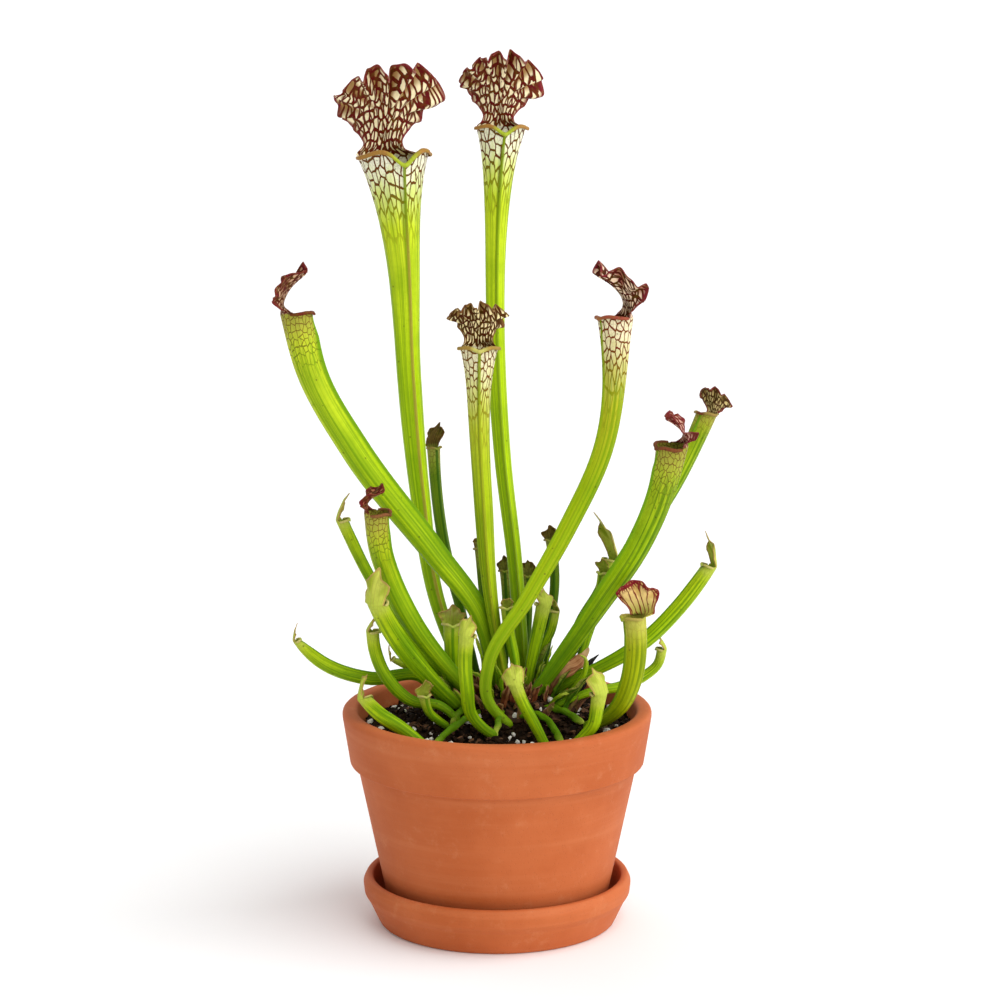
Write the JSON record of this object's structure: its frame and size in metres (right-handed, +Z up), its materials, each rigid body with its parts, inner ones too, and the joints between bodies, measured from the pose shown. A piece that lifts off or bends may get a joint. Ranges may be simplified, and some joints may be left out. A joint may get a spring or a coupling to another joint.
{
  "type": "potted pitcher plant",
  "caption": "Trumpet pitcher plant with upright hooded tubes, ruffled veined lids and low young pitchers, in a tapered terracotta pot with a rim band that stands in a round saucer",
  "frame": {"origin": "centre of the saucer's underside, on the surface the object stands on; the axis of the pot passes through it", "axes": "+Z is up, along the axis of the pot; +X is to the right as the two tall pitchers are seen from the front; -Y is towards the viewer, the side that the tall pitchers' mouths face"},
  "size_m": [0.232, 0.16, 0.4423],
  "materials": {
    "terracotta": "matte",
    "peat": "matte",
    "rhizome_bark": "matte",
    "leaf_green": "satin",
    "young_green": "satin",
    "dry_leaf": "matte",
    "dead_leaf": "matte"
  },
  "bodies": {
    "root": {"saucer": "terracotta", "pot": "terracotta", "soil": "peat", "rhizome": "rhizome_bark", "tall_left_pitcher": "leaf_green", "tall_right_pitcher": "leaf_green", "left_arching_pitcher": "leaf_green", "centre_pitcher": "leaf_green", "right_arching_pitcher": "leaf_green", "right_front_pitcher": "leaf_green", "right_back_pitcher": "leaf_green", "left_middle_pitcher": "leaf_green", "low_left_pitcher": "young_green", "far_left_pitcher": "young_green", "back_left_pitcher": "young_green", "upright_left_pitcher": "young_green", "rising_left_pitcher": "young_green", "trailing_left_pitcher": "young_green", "lying_left_pitcher": "young_green", "tiny_left_pitcher": "young_green", "front_pitcher": "young_green", "front_right_pitcher": "young_green", "small_right_pitcher": "young_green", "hooded_right_pitcher": "leaf_green", "far_right_pitcher": "young_green", "curling_right_pitcher": "young_green", "back_middle_pitcher": "young_green", "back_right_pitcher": "young_green", "slim_right_pitcher": "young_green", "inner_pitcher": "young_green", "inner_right_pitcher": "young_green", "inner_slim_pitcher": "young_green", "back_pale_pitcher": "young_green", "back_dark_pitcher": "young_green", "back_slim_pitcher": "young_green", "hooked_leaf": "young_green", "pale_right_pitcher": "young_green", "wedge_leaf": "young_green", "dried_leaf": "dry_leaf", "dead_leaf": "dead_leaf"}
  },
  "joints": []
}
